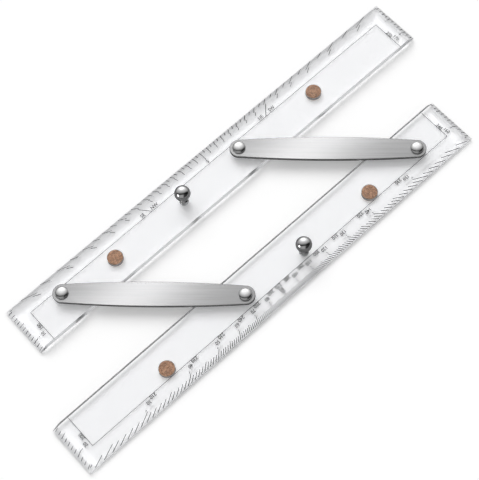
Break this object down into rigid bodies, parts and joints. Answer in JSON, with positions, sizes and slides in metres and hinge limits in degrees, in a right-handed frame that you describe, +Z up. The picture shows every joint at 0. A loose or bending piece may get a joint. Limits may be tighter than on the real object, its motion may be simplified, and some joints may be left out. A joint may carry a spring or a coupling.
{
  "type": "parallel rule",
  "caption": "Parallel rule: two clear bevelled rules joined by two swinging steel links, with ball knobs and cork pads.",
  "frame": {"origin": "middle of the open rule, on the surface that the cork pads rest on", "axes": "+X along the rules, +Y across them from the lower rule to the upper rule, +Z up"},
  "size_m": [0.4116, 0.135, 0.025],
  "materials": {
    "acrylic": "clear, polished",
    "link_steel": "satin brushed along the link, polished edge",
    "rivet_steel": "polished",
    "washer_steel": "plain",
    "knob_chrome": "polished",
    "cork": "fine cork"
  },
  "bodies": {
    "upper_blade": {"upper_rule": "acrylic", "upper_left_rivet": "rivet_steel", "upper_right_rivet": "rivet_steel", "upper_left_spacer": "washer_steel", "upper_right_spacer": "washer_steel", "upper_left_backing": "washer_steel", "upper_right_backing": "washer_steel", "upper_knob": "knob_chrome", "upper_knob_screw": "washer_steel", "upper_left_cork": "cork", "upper_right_cork": "cork"},
    "left_arm": {"left_link": "link_steel"},
    "right_arm": {"right_link": "link_steel"},
    "lower_blade": {"lower_rule": "acrylic", "lower_left_rivet": "rivet_steel", "lower_right_rivet": "rivet_steel", "lower_left_spacer": "washer_steel", "lower_right_spacer": "washer_steel", "lower_left_backing": "washer_steel", "lower_right_backing": "washer_steel", "lower_knob": "knob_chrome", "lower_knob_screw": "washer_steel", "lower_left_cork": "cork", "lower_right_cork": "cork"}
  },
  "joints": [
    {"name": "left_link_swing", "type": "hinge", "parent": "upper_blade", "child": "left_arm", "pos_m": [-0.13577, 0.0474, 0.01], "axis": [0, 0, -1], "range_deg": [-25.5, 117.9]},
    {"name": "right_link_swing", "type": "hinge", "parent": "upper_blade", "child": "right_arm", "pos_m": [0.03823, 0.0458, 0.01], "axis": [0, 0, -1], "range_deg": [-25.5, 117.9]},
    {"name": "lower_rule_swing", "type": "hinge", "parent": "left_arm", "child": "lower_blade", "pos_m": [-0.03823, -0.0458, 0.01], "axis": [0, 0, -1], "range_deg": [-117.9, 25.5]}
  ],
  "couplings": [
    {"joint": "right_link_swing", "follows": "left_link_swing", "ratio": 1},
    {"joint": "lower_rule_swing", "follows": "left_link_swing", "ratio": -1}
  ]
}
